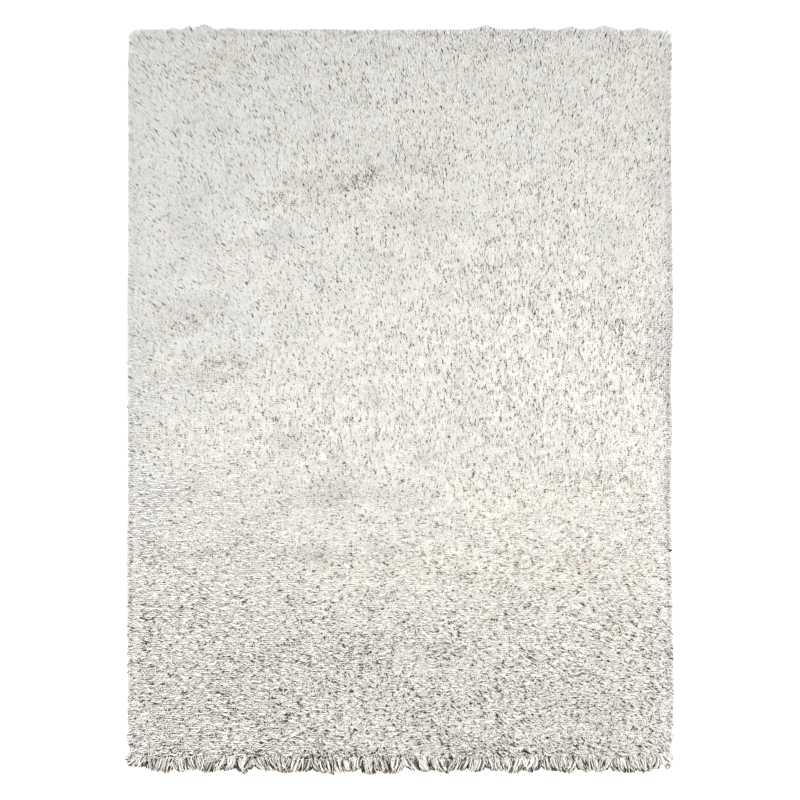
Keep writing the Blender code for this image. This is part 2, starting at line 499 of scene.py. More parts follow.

# %% [markdown]
# ## The depth of the pile
# The lower part of such a dense pile is felted together, and from above it shows only as a paler
# or darker ground between the strands. Its colour is painted shade: dark streaks for the gaps
# between the strands, darker in the partings, and near black along the front, under the fringe.
# It is modelled as one soft cushion with the pile's lumps: a grid whose points are lifted to a
# share of the imported model's height. Faces outside the rug are deleted, the points left over the
# outline are pulled in onto it, and the edge is extruded down to the cloth and closed.

# %% Felted ground of the pile
FELT_CELL = 0.0138
FELT_LEVELS = (  # place from front to back, height as a share of the model's
    (-1.16, 0.55),
    (-0.60, 0.60),
    (0.00, 0.69),
    (0.60, 0.68),
    (1.16, 0.65),
)
FELT_INSET = 0.002  # from the line that the strands reach to
FELT_RIM = 0.024  # height at the sides and the back
FELT_ROUNDING = 0.012
FELT_FLATTEST = 0.05
FELT_LEAST = 0.001  # height above the foot
# painted shade on the ground of the pile, near black along the front under the fringe
FELT_PAINTED_SHADE = (  # place from front to back, how dark the ground of the pile is
    (-1.13, 1.00),
    (-1.09, 0.46),
    (-0.60, 0.38),
    (-0.20, 0.36),
    (1.16, 0.40),
)
# painted shade: the ground of a parting is darker
PARTING_PAINTED_SHADE = 0.25
FELT_BUMP = (0.030, 0.018, 0.0035)  # size across the rug, size along it, height
FELT_LAYER = 21.0
# the streaks are painted shade, dark gaps between the strands, and bumps as well
STREAKS = ((0.016, 0.006, 0.02), (0.0055, 0.017, 0.02))  # their size at the front and the back
STREAK_TURN = (-0.75, 0.05)  # from y to y the one goes over into the other
STREAK_CONTRAST = 2.4
STREAK_BUMP = (0.8, 0.004)
# painted shade from near black in the deepest gaps up to the pale wool
FELT_WOOL_AND_SHADE = (
    (0.20, (0.035, 0.027, 0.018)),
    (0.42, (0.32, 0.275, 0.21)),
    (0.60, (0.74, 0.70, 0.63)),
    (1.00, (0.82, 0.81, 0.79)),
)


def across_zones(zone, table):
    """The table's columns, read off between its rows."""
    places, *columns = np.array(table).T
    return np.column_stack([np.interp(zone, places, column) for column in columns])


def add_felt_grid():
    size = HIGH - LOW
    deselect_all()
    bpy.ops.mesh.primitive_grid_add(
        x_subdivisions=round(size.x / FELT_CELL), y_subdivisions=round(size.y / FELT_CELL), size=1
    )
    felt = bpy.context.object
    felt.name = "pile_ground"
    felt.scale = (size.x, size.y, 1)
    bpy.ops.object.transform_apply()
    inside, way = measure_rim(plan_of(felt.data))
    over = inside + rim_reach(plan_of(felt.data), way) - FELT_INSET
    for face in felt.data.polygons:
        face.select = all(over[index] < 0 for index in face.vertices)
    bpy.ops.object.mode_set(mode="EDIT")
    bpy.ops.mesh.select_mode(type="FACE")
    bpy.ops.mesh.delete(type="FACE")
    bpy.ops.object.mode_set(mode="OBJECT")
    return felt


def lift_felt(felt):
    points = plan_of(felt.data)
    inside, way = measure_rim(points)
    over = inside + rim_reach(points, way) - FELT_INSET
    points = points + way * np.minimum(over, 0)[:, None]
    across, along, bump = FELT_BUMP
    height = model_top(points) * across_zones(points[:, 1], FELT_LEVELS)[:, 0]
    height = np.maximum(height, FELT_RIM * (1 - np.clip(-way[:, 1], 0, 1)) * (inside < FELT_CELL))
    parted = partings(points)[0]
    bumps = noise_field(points, across, along, FELT_LAYER)[:, 0]
    height += bump * bumps - PARTING_DEPTH * parted
    height *= np.sqrt(np.clip(over / FELT_ROUNDING, FELT_FLATTEST, 1))
    height = np.maximum(height, PILE_FOOT + FELT_LEAST)
    felt.data.vertices.foreach_set("co", np.column_stack([points, height]).ravel())
    # painted shade of the ground: darkest along the front, and darker in the partings
    shade = across_zones(points[:, 1], FELT_PAINTED_SHADE)[:, 0] + PARTING_PAINTED_SHADE * parted
    felt.data.attributes.new("shade", "FLOAT", "POINT").data.foreach_set("value", shade)
    felt.data.update()


def close_felt(felt):
    edit(felt)
    bpy.ops.mesh.select_mode(type="EDGE")
    bpy.ops.mesh.select_all(action="DESELECT")
    bpy.ops.mesh.select_non_manifold()
    bpy.ops.mesh.extrude_edges_move()
    bpy.ops.transform.resize(value=(1, 1, 0), center_override=(0, 0, PILE_FOOT))
    bpy.ops.mesh.edge_face_add()
    finish_edit()
    felt.data.shade_smooth()


def felt_material():
    """Pale wool with painted shade: dark gaps, which grow where the ground lies deeper."""
    material, shader, start = new_material("wool_felt", Roughness=0.95)
    place = start.add("TexCoord", output=3)
    streaks = []
    for size in STREAKS:
        mapping = {"Vector": place, "Scale": size}
        stretched = start.add("Mapping", {"vector_type": "TEXTURE"}, mapping)
        pattern = {"Vector": stretched, "Scale": 1.0, "Detail": 2.0}
        streaks.append(start.add("TexNoise", inputs=pattern))
    front, back = streaks
    at_back = place.split()[1].between(*STREAK_TURN)
    spots = front + (back - front) * at_back
    shade = start.add("Attribute", {"attribute_name": "shade"}, output=2)
    # the painted shade darkens the felt's wool colour
    level = 1 - shade + (spots - 0.5) * STREAK_CONTRAST
    level.add("ValToRGB", {"stops": FELT_WOOL_AND_SHADE}, {"Fac": level}).into(shader, "Base Color")
    spots.raise_surface(shader, *STREAK_BUMP)
    return material


felt = add_felt_grid()
lift_felt(felt)
close_felt(felt)
felt.data.materials.append(felt_material())
print("pile ground", len(felt.data.loops) - 2 * len(felt.data.polygons), "triangles")

# %% [markdown]
# ## One strand
# A strand of shag is a soft wool cord, here about four millimetres thick, that frays to a thin
# end. There are more than a hundred thousand, so this one has only three sides and six triangles.
# A triangle is drawn out upwards to the tip, and downwards to a point, which the pile hides. The
# strands of the fringe lie free, so theirs has more rings and can curl. The height is 1, because
# every copy is stretched and bent to its own length and lean.

# %% Model the strands
SIDES = 3
PILE_RINGS = ((0.0, 0.0), (0.70, 1.0), (1.0, 0.0))  # height, thickness
FRINGE_RINGS = ((0.0, 0.0), (0.36, 1.0), (0.66, 1.0), (0.88, 0.85), (1.0, 0.0))
HAIR = 0.01  # less than this of the strand's height or thickness is nothing


def draw_out(low, high, thinner):
    """Extrudes the selected face from one height to another, to a point if thinner is 0."""
    rise = {"value": (0, 0, high - low)}
    bpy.ops.mesh.extrude_region_move(TRANSFORM_OT_translate=rise)
    if thinner:
        bpy.ops.transform.resize(value=(thinner, thinner, 1), center_override=(0, 0, high))
    else:
        bpy.ops.mesh.merge(type="CENTER")


def make_strand(rings):
    low, thickness = rings[1]
    deselect_all()
    bpy.ops.mesh.primitive_circle_add(
        vertices=SIDES, radius=thickness, fill_type="NGON", location=(0, 0, 0)
    )
    strand = bpy.context.object
    edit(strand)
    bpy.ops.transform.translate(value=(0, 0, low))
    for (height, thick), (next_height, next_thick) in zip(rings[1:], rings[2:]):
        draw_out(height, next_height, next_thick / thick)
    select_faces(strand, lambda height: abs(height - low) < HAIR)
    draw_out(low, rings[0][0], 0)
    finish_edit()
    print("strand", len(strand.data.vertices), "points,", len(strand.data.polygons), "faces")
    return strand


pile_strand = make_strand(PILE_RINGS)
fringe_strand = make_strand(FRINGE_RINGS)

# %% [markdown]
# ## A strip of texture for every tint
# The strand gets its own UV map: u runs round it and v along it. In the map of the whole pile a
# strip for each tint stands beside the next, and every copy lies in the strip of its own tint.
# So one pattern, drawn in u and v, gives each strand its tint, the painted shade at its root and
# its twist, and it stays right however the strand bends.

# %% Unwrap the strand
UV_NAME = "OFBake"
TINTS = 64
STRIP_MARGIN = 0.06
FRINGE_ENDS = (1.0, 0.72)  # the fringe lies in the light, away from the colour of the roots
SEAM_SIDE = 0.2  # corners this near after the seam may belong to the face before it


def face_turns(points):
    """How far round the strand each corner of a face lies, from 0 to 1 and never back."""
    turns = [(math.atan2(point.x, point.y) / (2 * math.pi)) % 1 for point in points]
    on_side = [turn for turn, point in zip(turns, points) if point.xy.length > HAIR]
    if max(on_side) - min(on_side) > 0.5:
        turns = [turn + 1 if turn < SEAM_SIDE else turn for turn in turns]
        on_side = [turn + 1 if turn < SEAM_SIDE else turn for turn in on_side]
    middle = sum(on_side) / len(on_side)
    return [turn if point.xy.length > HAIR else middle for turn, point in zip(turns, points)]


def unwrap(strand, root, tip):
    """Maps the strand to its strip, from v = root at the knot to v = tip at its end."""
    mesh = strand.data
    layer = mesh.uv_layers.new(name=UV_NAME)
    for face in mesh.polygons:
        points = [mesh.vertices[index].co for index in face.vertices]
        for loop, turn, point in zip(face.loop_indices, face_turns(points), points):
            u = STRIP_MARGIN + turn * (1 - 2 * STRIP_MARGIN)
            layer.data[loop].uv = (u, root + (tip - root) * point.z)
    print("strand unwrapped,", len(layer.data), "corners")


unwrap(pile_strand, 0, 1)
unwrap(fringe_strand, *FRINGE_ENDS)

# %% [markdown]
# ## Wool
# The tint of a strand picks its colour from a row of browns, creams and whites. Its root is
# painted darker, as painted shade, because little light comes down between the strands. At the
# front one looks deeper into the pile, so the painted shade there is darker and browner, and the
# front and the back each have their own colours.

# %% Wool
# painted shade at the roots, darker and browner at the front
FRONT_ROOT_SHADE = (0.13, 0.082, 0.036, 1)
BACK_ROOT_SHADE = (0.33, 0.312, 0.27, 1)
# the lowest tints, near black, are painted shade for the dark strands
FRONT_TINTS = (  # tint, colour
    (0.00, (0.028, 0.022, 0.014)),
    (0.05, (0.05, 0.031, 0.016)),
    (0.15, (0.325, 0.25, 0.16)),
    (0.38, (0.675, 0.633, 0.57)),
    (0.60, (0.78, 0.763, 0.724)),
    (0.85, (0.845, 0.837, 0.81)),
    (1.00, (0.872, 0.858, 0.825)),
)
BACK_TINTS = (
    (0.00, (0.035, 0.031, 0.026)),
    (0.15, (0.38, 0.36, 0.325)),
    (0.38, (0.71, 0.682, 0.625)),
    (0.60, (0.805, 0.800, 0.772)),
    (0.78, (0.846, 0.848, 0.832)),
    (1.00, (0.875, 0.875, 0.857)),
)
# painted shade: the front's darker, browner colours stand for the deeper look into the pile
FRONT_SHADE_SPAN = (-0.65, -0.20)  # from y to y the front's colours go over to the back's
FRONT_SHADE_FADE = (0.21, 0.68)  # the root's colour ends between these shares of the length
BACK_SHADE_FADE = (0.25, 0.79)
WOOL_SIDES = (
    (FRONT_TINTS, FRONT_ROOT_SHADE, FRONT_SHADE_FADE),
    (BACK_TINTS, BACK_ROOT_SHADE, BACK_SHADE_FADE),
)
PLIES = 2
TWISTS = 5  # along the length of a strand
PLY_BUMP = (0.35, 0.0008)


def wool_material():
    material, shader, start = new_material("wool_pile", Roughness=0.90, Specular_IOR_Level=0.2)
    u, v, _ = start.add("UVMap", {"uv_map": UV_NAME}).split()
    strip = u * TINTS
    tint = strip.math("FLOOR") / (TINTS - 1)
    turn = (strip.math("FRACT") - STRIP_MARGIN) / (1 - 2 * STRIP_MARGIN)
    back = start.add("TexCoord", output=3).split()[1].between(*FRONT_SHADE_SPAN)
    sides = []
    for tints, roots, fade in WOOL_SIDES:
        wool = start.add("ValToRGB", {"stops": tints}, {"Fac": tint})
        # painted shade: each strand darkens towards its root
        sides.append(v.between(*fade).mixed(roots, wool))
    back.mixed(*sides).into(shader, "Base Color")
    ply = ((turn * PLIES + v * TWISTS) * (2 * math.pi)).math("SINE").math("ABSOLUTE")
    ply.raise_surface(shader, *PLY_BUMP)
    return material


WOOL = wool_material()
print("wool in", TINTS, "tints")

# %% [markdown]
# ## Rows of strands
# The knots stand side by side in straight rows across the rug. Every row is shifted by half a knot
# against the last, and no knot sits quite where it should. What shows is where each strand stands
# up in the pile, so that is what is placed here, as far as the pile reaches. The strands beyond the
# cloth's edge are knotted inside it and lean out over it. A closer row follows the trimmed edge.

# %% Place the strands
ROW_PITCH = 0.0060
KNOT_PITCH = 0.0045
JITTER = 0.30  # share of the pitch
STRAND_RADIUS = 0.0019
EDGE_PITCH = 0.0034
EDGE_INSET = 1.4  # share of the radius
INWARDS = 1 - 1e-4  # moves points on the outline a hair inside it
FRONT_ENDS = -0.5  # where the way out points further to the front than this is the front
CHANCE_SEED = 7
chance = np.random.default_rng(CHANCE_SEED)


def room(points, inside, way):
    """How far each point lies inside the line that the pile reaches to."""
    return inside + rim_reach(points, way, PILE_FRONT)


def at_sides(way):
    return way[:, 1] > FRONT_ENDS


def along_outline(pitch, chosen):
    """Points along the outline of the cloth, as far as it is chosen, and the way out there."""
    points = []
    for a, b in zip(RIM_START, RIM_END):
        number = max(round(np.linalg.norm(b - a) / pitch), 1)
        points += [a + (b - a) * (place + 0.5) / number for place in range(number)]
    points = np.array(points) * INWARDS
    _, way = measure_rim(points)
    kept = chosen(way)
    return points[kept], way[kept]


def edge_row():
    points, way = along_outline(EDGE_PITCH, at_sides)
    reach = rim_reach(points, way, PILE_FRONT) - EDGE_INSET * STRAND_RADIUS
    return points + way * reach[:, None]


def place_strands():
    rows = np.arange(LOW.y, HIGH.y, ROW_PITCH)
    knots = np.arange(LOW.x, HIGH.x, KNOT_PITCH)
    x, y = np.meshgrid(knots, rows)
    x[1::2] += KNOT_PITCH / 2
    x = x + chance.uniform(-JITTER, JITTER, x.shape) * KNOT_PITCH
    y = y + chance.uniform(-JITTER, JITTER, x.shape) * ROW_PITCH
    points = np.vstack([np.column_stack([x.ravel(), y.ravel()]), edge_row()])
    inside, way = measure_rim(points)
    left = room(points, inside, way)
    kept = left > STRAND_RADIUS
    return points[kept], left[kept], way[kept]


PLACES, ROOM, WAY_OUT = place_strands()
COUNT = len(PLACES)
print(COUNT, "strands")

# %% [markdown]
# ## Tufts along the front
# At the front the last rows cling together in tufts of two to five centimetres, and each tuft
# sweeps over to one side. At the left corner they sweep outwards, or the corner would be bare.

# %% Tufts
TUFT_PITCH = (0.016, 0.048)
TUFT_REACH = (0.051, 0.063)
TUFT_SWEEP = (0.010, 0.027)
TO_THE_LEFT = 0.38  # share of the tufts
LEFT_CORNER = 0.07  # nearer to the left corner than this they all sweep towards it
Tufts = namedtuple("Tufts", "middles halves reaches sweeps")


def place_tufts():
    """Middles, half widths, reaches and sweeps of the tufts from left to right."""
    edges = [LOW.x]
    while edges[-1] < HIGH.x:
        edges.append(edges[-1] + chance.uniform(*TUFT_PITCH))
    edges = np.array(edges)
    number = len(edges) - 1
    middles, halves = (edges[1:] + edges[:-1]) / 2, np.diff(edges) / 2
    reaches = chance.uniform(*TUFT_REACH, number)
    sweeps = chance.uniform(*TUFT_SWEEP, number)
    to_left = chance.random(number) < TO_THE_LEFT
    to_left[middles < LOW.x + LEFT_CORNER] = True
    return Tufts(middles, halves, reaches, np.where(to_left, -sweeps, sweeps))


def tuft_of(points):
    """(number of the tuft that each point belongs to, its place across it from -1 to 1)."""
    tuft = np.abs(points[:, :1] - TUFTS.middles).argmin(axis=1)
    return tuft, np.clip((points[:, 0] - TUFTS.middles[tuft]) / TUFTS.halves[tuft], -1, 1)


TUFTS = place_tufts()
print(len(TUFTS.middles), "tufts")

# %% [markdown]
# ## Which way the strands lean
# Pile has a nap: here it leans towards the back edge and a little to the left. On top of that lie
# drifts, where walking and rolling have pushed long patches aside, and tufts, where a few
# neighbours cling together: along the rug at the back, and in rows that lie over to one side at
# the front. Each strand adds a little disorder of its own. A lean is an angle, kept as a vector
# that points the way the strand falls.

# %% Lean of the pile
NAP = (  # place from front to back, lean across, lean along
    (-1.16, -0.10, 0.05),
    (-0.60, -0.10, 0.08),
    (-0.15, -0.14, 0.25),
    (1.16, -0.14, 0.285),
)
LEFT_NAP = (-0.16, 0.05)  # how much more it leans at the left edge than in the middle
LEFT_ROWS = 0.40  # how much further back the rows go there
DRIFTS = (  # size across the rug, size along it, angle across, angle along, layer of the noise
    (0.300, 0.180, 0.14, 0.10, 1.0),
    (0.085, 0.026, 0.12, 0.12, 5.0),
    (0.022, 0.018, 0.06, 0.08, 9.0),
)
COLUMNS = (0.0075, 0.034, 15.0)  # size of the noise across the rug, size along it, layer
ROWS = (0.018, 0.0085, 17.0)
DISORDER = (  # place from front to back, angle of the rows, of the columns, of each strand
    (-1.16, 1.20, 0.00, 0.13),
    (-0.72, 1.10, 0.00, 0.13),
    (-0.50, 0.60, 0.04, 0.11),
    (-0.10, 0.25, 0.10, 0.08),
    (0.40, 0.05, 0.15, 0.06),
    (1.16, 0.00, 0.16, 0.05),
)
FRONT_FALL = 0.55  # extra lean to the front of the last strands there
FRONT_WIDTH = 0.045
FACES_FRONT = (-2.5, -1)  # turns the way out into 0 at the sides and 1 at the front
FRONT_DROP = 0.40  # how much shorter the very last ones are
ROW_SLOPES = (0.36, 0.40)  # how far the rows lean back for what they lean to the left, its change
SLOPE_PATCH = (0.30, 0.22, 61.0)
PARTING_FALL = 0.22
MOST_LEAN = 0.88
EDGE_STANDS = 0.035  # from here to the trimmed edge the rows lie over less and less
EDGE_LEAST = 0.25


def at_front():
    """How far along the strands are in falling over the front, from 0 to 1."""
    factor, start = FACES_FRONT
    faces_front = np.clip(factor * WAY_OUT[:, 1] + start, 0, 1)
    return np.clip(1 - ROOM / FRONT_WIDTH, 0, 1) * faces_front


def pile_lean():
    left = -PLACES[:, 0] / HIGH.x
    zone = PLACES[:, 1] - LEFT_ROWS * np.maximum(left, 0)
    lean = across_zones(zone, NAP)
    lean += np.outer(left, LEFT_NAP)
    for across, along, *angles, layer in DRIFTS:
        lean += np.array(angles) * noise_field(PLACES, across, along, layer)
    lean[:, 1] += PARTING_FALL * partings(PLACES)[1]
    rows, columns, single = across_zones(zone, DISORDER).T
    rows *= noise_field(PLACES, *ROWS)[:, 0] * np.clip(ROOM / EDGE_STANDS, EDGE_LEAST, 1)
    slope = ROW_SLOPES[0] + ROW_SLOPES[1] * noise_field(PLACES, *SLOPE_PATCH)[:, 0]
    lean += np.column_stack([rows, -slope * rows])
    lean[:, 0] += columns * noise_field(PLACES, *COLUMNS)[:, 0]
    lean += chance.normal(0, 1, (COUNT, 2)) * single[:, None]
    tuft, _ = tuft_of(PLACES)
    aside = TUFTS.sweeps[tuft] / TUFT_REACH[0]
    fall = np.column_stack([aside, np.full(COUNT, -1.0)])
    lean += (AT_FRONT * FRONT_FALL)[:, None] * fall
    return lean / np.maximum(np.linalg.norm(lean, axis=1) / MOST_LEAN, 1)[:, None]


AT_FRONT = at_front()
LEAN = pile_lean()
ANGLE = np.linalg.norm(LEAN, axis=1)
AHEAD = np.column_stack([LEAN / np.maximum(ANGLE, 1e-6)[:, None], np.zeros(COUNT)])
print("lean", np.round(np.degrees(ANGLE.mean()), 1), "degrees")

# %% [markdown]
# ## Length
# The pile's lumps come from strands of different length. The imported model's top above a strand is
# the height that it has to reach. A strand starts off steeper than its lean and ends flatter,
# because its own weight pulls its tip over, and one that leans has to be longer to come up as high.

# %% Length of each strand
BENDS = (0.90, 1.40)  # share of the lean in each part of the strand
TOP_RISE = 0.002  # how far the tips stand above the model's top
LOWEST_TOP = 0.040
HIGHEST_TOP = 0.051
PARTING_CUT = 0.30  # how much shorter the strands look in a parting
LENGTH_SPREAD = 0.045
LENGTH_LIMITS = (-0.15, 0.10)
RADIUS_SPREAD = 0.18
RADIUS_LIMITS = (-0.45, 0.35)
FINER = ((-0.80, -0.10), (0.86, 1.0))  # places from front to back, how thick the strands are there
PARTS = np.diff([height for height, _ in PILE_RINGS])


def strand_lengths():
    heights = np.clip(model_top(PLACES) + TOP_RISE, LOWEST_TOP, HIGHEST_TOP)
    climb = sum(part * np.cos(bend * ANGLE) for part, bend in zip(PARTS, BENDS))
    shorter = 1 - PARTING_CUT * partings(PLACES)[0]
    spread = 1 + chance.normal(0, LENGTH_SPREAD, COUNT).clip(*LENGTH_LIMITS)
    return heights / climb * shorter * spread * (1 - FRONT_DROP * AT_FRONT)


LENGTH = strand_lengths()
RADIUS = STRAND_RADIUS * np.interp(PLACES[:, 1], *FINER)
RADIUS = RADIUS * (1 + chance.normal(0, RADIUS_SPREAD, COUNT).clip(*RADIUS_LIMITS))
print("strand length", np.round(LENGTH.mean(), 4), "m")

# %% [markdown]
# ## Bend the strands
# Each strand is followed from its place in the pile, where it is thickest: down to its knot, which
# has to be on the cloth, and up to its tip. The rug has been trimmed along its sides and its back,
# so no tip hangs out over that line. What is kept of each strand is the middle of its rings, and a
# level direction across it.

# %% Bend
Strands = namedtuple("Strands", "middles aside radius tint")

CLOTH_HEM = 0.0025  # no knot nearer to the cloth's edge
TRIM = 0.0025  # no tip nearer to the line that the pile reaches to
FLOOR_GAP = 0.0006
UP = np.array((0.0, 0.0, 1.0))


def pull_in(points, limit):
    """Moves points inwards until they are as far inside as the limit says."""
    inside, way = measure_rim(points[:, :2])
    excess = np.minimum(limit(points[:, :2], inside, way), 0)
    points[:, :2] += way * excess[:, None]


def bend_strands():
    low, high = (
        (AHEAD * np.sin(turn)[:, None] + UP * np.cos(turn)[:, None]) * (LENGTH * part)[:, None]
        for turn, part in ((ANGLE * bend, part) for bend, part in zip(BENDS, PARTS))
    )
    root = np.column_stack([PLACES, np.full(COUNT, PILE_FOOT)])
    knee = root + low * UP
    tip = knee + high
    root -= low * (1, 1, 0)
    pull_in(root, lambda points, inside, way: inside - CLOTH_HEM)
    pull_in(tip, lambda points, inside, way: room(points, inside, way) - TRIM)
    return np.stack([root, knee, tip], 1), np.cross(UP, AHEAD)


MIDDLES, ASIDE = bend_strands()
print("highest tip", np.round(MIDDLES[:, -1, 2].max(), 4), "m")

# %% [markdown]
# ## Tint
# Undyed wool isn't all one white. Each strand gets its own tint, most of them near white and some
# creamier, and the partings are the most beige. The mean tint also carries painted light: it is
# paler at the front and darker towards the back. A few strands are painted dark brown as painted
# shade: from above they stand for the small dark gaps between the pale ones. Towards the front
# they are more frequent, and come in clusters. The strands that fall over the front and those
# along the trimmed line are painted darker too, as painted shade.

# %% Tint of each strand
# painted light: the mean tint is paler at the front and darker towards the back; the spread is the
# wool's own
TINT_AND_PAINTED_LIGHT = (  # place from front to back, mean tint, spread
    (-1.16, 0.97, 0.12),
    (-0.60, 0.95, 0.13),
    (-0.20, 0.78, 0.15),
    (0.60, 0.74, 0.16),
    (1.16, 0.69, 0.17),
)
# painted shade: dark strands that stand for the gaps between the pale ones
SHADE_FLECKS = (  # place from front to back, share of the strands that are dark
    (-1.16, 0.115),
    (-0.70, 0.070),
    (-0.40, 0.020),
    (0.00, 0.012),
    (0.40, 0.012),
    (1.16, 0.021),
)
FRONT_SHADE_FLECKS = 0.16  # more of them where the strands fall over the front
# painted shade: the strands that fall over the front are darker
FRONT_FALL_SHADE = 0.22  # how much less pale the strands are that fall over the front
SHADE_FLECK_TINTS = (0.01, 0.06)
SHADE_FLECK_PATCH = (0.050, 0.016, 51.0)  # size of the noise across the rug, size along it, layer
SHADE_FLECK_CLUSTER = (0.010, 0.0048, 53.0)
UNEVEN, CLUSTERING = 1.2, 5.0  # how strong the patches and the clusters are
CLUSTERED = (-0.70, -0.20)  # from y to y the clusters go over to single flecks
TINT_DRIFT = (0.16, 0.05, 13.0)
DRIFT_TINT = 0.06
PARTING_BEIGE = 0.34
# painted shade: the strands along the trimmed line are darker
RIM_SHADE_TINT = 0.22
RIM_LINE = 0.005  # the strands nearer than this to the trimmed line are a little darker


def tint_strips(tint):
    return np.clip(tint * (TINTS - 1), 0, TINTS - 1).astype(int)


def shade_strands():
    share = across_zones(PLACES[:, 1], SHADE_FLECKS)[:, 0] + FRONT_SHADE_FLECKS * AT_FRONT
    share *= np.exp(UNEVEN * noise_field(PLACES, *SHADE_FLECK_PATCH)[:, 0])
    clusters = noise_field(PLACES, *SHADE_FLECK_CLUSTER)[:, 0]
    clustering = np.interp(PLACES[:, 1], CLUSTERED, (CLUSTERING, 0))
    share *= np.exp(clustering * clusters - (clustering * clusters.std()) ** 2 / 2)
    dark = chance.uniform(0, 1, COUNT) < share
    print("share of dark strands", np.round(dark.mean(), 3))
    return dark


def strand_tints():
    tint, spread = across_zones(PLACES[:, 1], TINT_AND_PAINTED_LIGHT).T
    tint += DRIFT_TINT * noise_field(PLACES, *TINT_DRIFT)[:, 0]
    tint -= PARTING_BEIGE * partings(PLACES)[0] + RIM_SHADE_TINT * (ROOM < RIM_LINE)
    tint += spread * chance.normal(0, 1, COUNT) - FRONT_FALL_SHADE * AT_FRONT
    dark = shade_strands()
    tint[dark] = chance.uniform(*SHADE_FLECK_TINTS, dark.sum())
    return tint_strips(tint)


TINT = strand_tints()
print("tints used:", len(np.unique(TINT)))

# %% [markdown]
# ## The front fringe
# Under the last rows of the pile a fringe comes out at the front and down to the floor. In a tuft
# its strands draw together, the middle ones reach furthest, and all turn to the tuft's side at
# their ends. Each strand is an arch: it rises from its knot, goes over, and comes down in front of
# the cloth. The fringe is laid in layers, each a little higher than the one below. The two lowest
# are dense and painted near black, as painted shade: they are what shows in the gaps between the
# others. In the upper layers a share of the strands is painted dark for the same shade.

# %% Curl the fringe
FRINGE_PITCH = 0.0042
Layer = namedtuple("Layer", "share inset reach arch tip_height sweep radius tint dark")
# the two lowest layers are near black, painted shade for the gaps; the last column is the share of
# strands painted dark
FRINGE_LAYERS = (
    Layer(1.0, 0.003, 0.80, 0.008, 0.001, 0.0, 0.0028, 0.01, 0.00),
    Layer(1.0, 0.004, 0.93, 0.010, 0.002, 0.2, 0.0026, 0.03, 0.00),
    Layer(0.5, 0.005, 0.98, 0.013, 0.003, 0.8, 0.0018, 0.32, 0.52),
    Layer(0.5, 0.006, 1.00, 0.015, 0.005, 1.0, 0.0017, 0.42, 0.48),
    Layer(0.5, 0.007, 0.95, 0.017, 0.007, 1.0, 0.0017, 0.46, 0.45),
    Layer(0.5, 0.008, 0.88, 0.019, 0.011, 1.0, 0.0017, 0.50, 0.40),
    Layer(0.5, 0.009, 0.78, 0.022, 0.016, 1.0, 0.0017, 0.52, 0.36),
)
FRINGE_STARTS = -0.4  # where the way out points further to the front than this
CORNER_STARTS = 0.2  # where it points further aside than this the roots are closer
FRINGE_CORNERS = 0.85  # share of the pile's extra reach at the corners
INSET_SPREAD = 0.5  # share of the inset
TUFT_ROUNDING = 0.10  # share by which the outer strands of a tuft are shorter
GATHER = 0.006  # how far the outer strands of a tuft turn to its middle
HOOK = -0.22  # how late the strands turn to the tuft's side
OUT_POWER, ARCH_POWER = 1.1, 0.85  # over 1 it happens late along the strand, under 1 early
REACH_SPREAD, SWEEP_SPREAD, CURL_SPREAD = 0.002, 0.006, 0.004
HOOK_SPREAD, ARCH_SPREAD = 0.15, 0.12
THICKNESS_SPREAD, THICKNESS_LIMIT = 0.12, 0.3
FRINGE_SPREAD = 0.12  # of the tints in a layer
# painted shade: the tints of the dark strands
FRINGE_SHADE_TINTS = (0.0, 0.08)  # the tints of the dark strands


def fringe_roots(layer):
    """Points a little inside the front outline, closer at its corners, and the way out there."""
    points, way = along_outline(FRINGE_PITCH / 2, lambda way: way[:, 1] < FRINGE_STARTS)
    share = np.where(np.abs(way[:, 0]) > CORNER_STARTS, 1.0, layer.share)
    kept = chance.random(len(way)) < share
    points, way = points[kept], way[kept]
    spread = chance.uniform(-INSET_SPREAD, INSET_SPREAD, len(way))
    return points - way * (layer.inset * (1 + spread))[:, None], way


def curl_layer(layer):
    roots, way = fringe_roots(layer)
    number = len(roots)
    tuft, place = tuft_of(roots)
    reach = SIDE_REACH + (TUFTS.reaches[tuft] - SIDE_REACH) * way[:, 1] ** 2
    reach *= layer.reach * (1 - TUFT_ROUNDING * place**2)
    reach += corner_reach(way) * layer.reach * FRINGE_CORNERS
    reach += chance.normal(0, REACH_SPREAD, number)
    sweep = TUFTS.sweeps[tuft] * way[:, 1] ** 4 - place * GATHER
    sweep += chance.normal(0, SWEEP_SPREAD, number)
    sweep *= layer.sweep * (layer.inset + reach) / TUFT_REACH[1]
    hook = HOOK + chance.normal(0, HOOK_SPREAD, number)
    curl = chance.normal(0, CURL_SPREAD, number)
    arch = layer.arch * (1 + chance.normal(0, ARCH_SPREAD, number))
    across = np.column_stack([-way[:, 1], way[:, 0]])
    rings = []
    for share, _ in FRINGE_RINGS:
        out = (layer.inset + reach) * share**OUT_POWER
        middle = math.sin(math.pi * share)
        sideways = sweep * (share + hook * middle) + curl * middle
        rise = arch * math.sin(math.pi * share**ARCH_POWER)
        height = PILE_FOOT + layer.tip_height * share + rise
        plan = roots + way * out[:, None] + across * sideways[:, None]
        rings.append(np.column_stack([plan, height + layer.radius * share]))
    thickness = chance.normal(0, THICKNESS_SPREAD, number).clip(-THICKNESS_LIMIT, THICKNESS_LIMIT)
    dark = chance.uniform(0, 1, number) < layer.dark
    tint = layer.tint + min(layer.tint, FRINGE_SPREAD) * chance.normal(0, 1, number)
    tint = np.where(dark, chance.uniform(*FRINGE_SHADE_TINTS, number), tint)
    aside = np.column_stack([across, np.zeros(number)])
    return Strands(np.stack(rings, 1), aside, layer.radius * (1 + thickness), tint_strips(tint))


def together(layers):
    return Strands(*(np.concatenate(columns) for columns in zip(*layers)))


